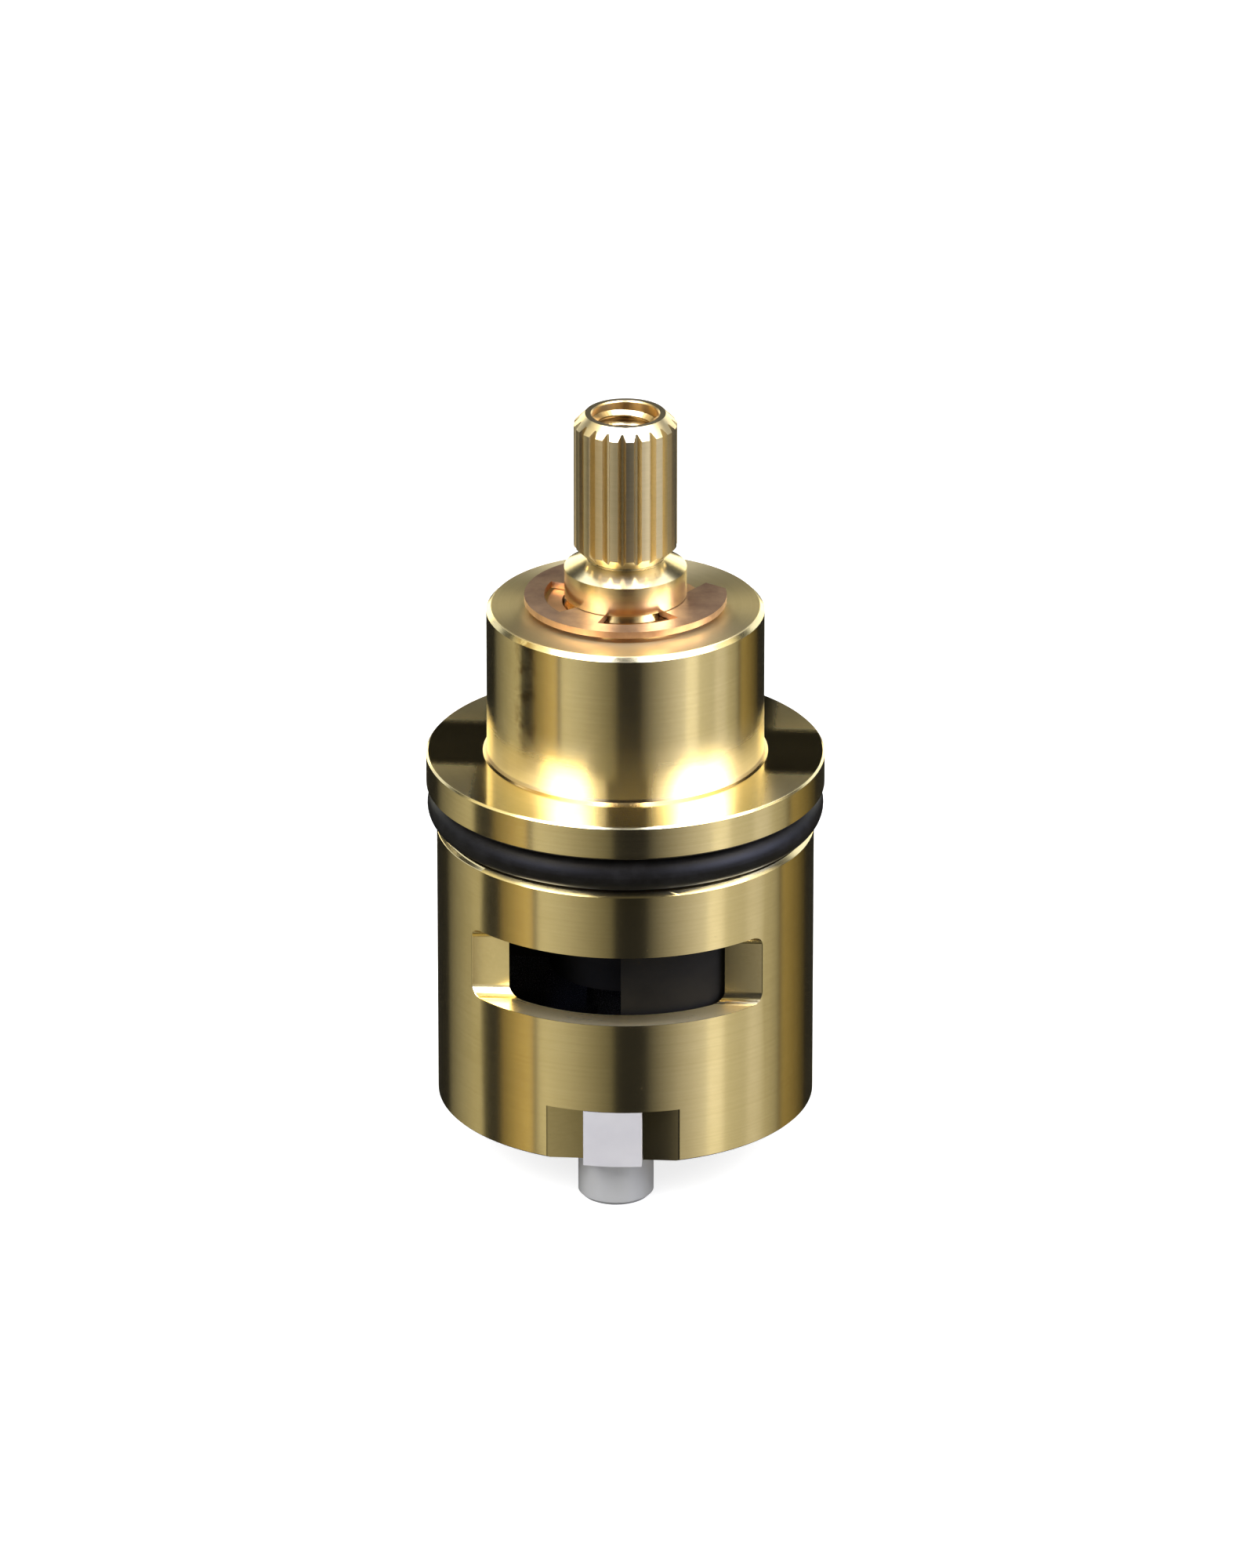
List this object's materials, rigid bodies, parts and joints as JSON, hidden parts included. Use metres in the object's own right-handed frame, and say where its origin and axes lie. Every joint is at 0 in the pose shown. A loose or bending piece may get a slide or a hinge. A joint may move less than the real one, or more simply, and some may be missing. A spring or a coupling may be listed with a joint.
{
  "type": "faucet cartridge",
  "caption": "Quarter-turn ceramic-disc faucet cartridge: turned brass body with milled side windows, a sealing ring, a splined stem and a plastic locating base.",
  "frame": {"origin": "axis of the cartridge at the bottom rim of the brass body, where the lower barrel ends", "axes": "+Z runs along the axis towards the splined end of the stem; -Y points to the base tab and the locating peg"},
  "size_m": [0.03, 0.03, 0.0592],
  "materials": {
    "brass_housing": "turned, bright",
    "brass_stem": "turned, bright",
    "bronze_ring": "stamped phosphor bronze, satin",
    "bronze_washer": "stamped phosphor bronze, satin",
    "rubber_black": "moulded, matt",
    "plastic_thrust": "moulded acetal",
    "plastic_driver": "moulded, dark brown",
    "ceramic_disc": "lapped black ceramic",
    "plastic_base": "moulded white acetal"
  },
  "bodies": {
    "body": {"housing": "brass_housing", "body_o_ring": "rubber_black", "stem_washer": "bronze_washer", "thrust_washer": "plastic_thrust", "fixed_disc": "ceramic_disc", "disc_gasket": "rubber_black", "base": "plastic_base", "base_seal": "rubber_black"},
    "spindle": {"stem": "brass_stem", "stem_clip": "bronze_ring", "stem_o_ring_upper": "rubber_black", "stem_o_ring_lower": "rubber_black", "driver": "plastic_driver", "turning_disc": "ceramic_disc"}
  },
  "joints": [
    {"name": "stem_turn", "type": "hinge", "parent": "body", "child": "spindle", "pos_m": [0, 0, 0.03], "axis": [0, 0, 1], "range_deg": [-45, 45]}
  ]
}
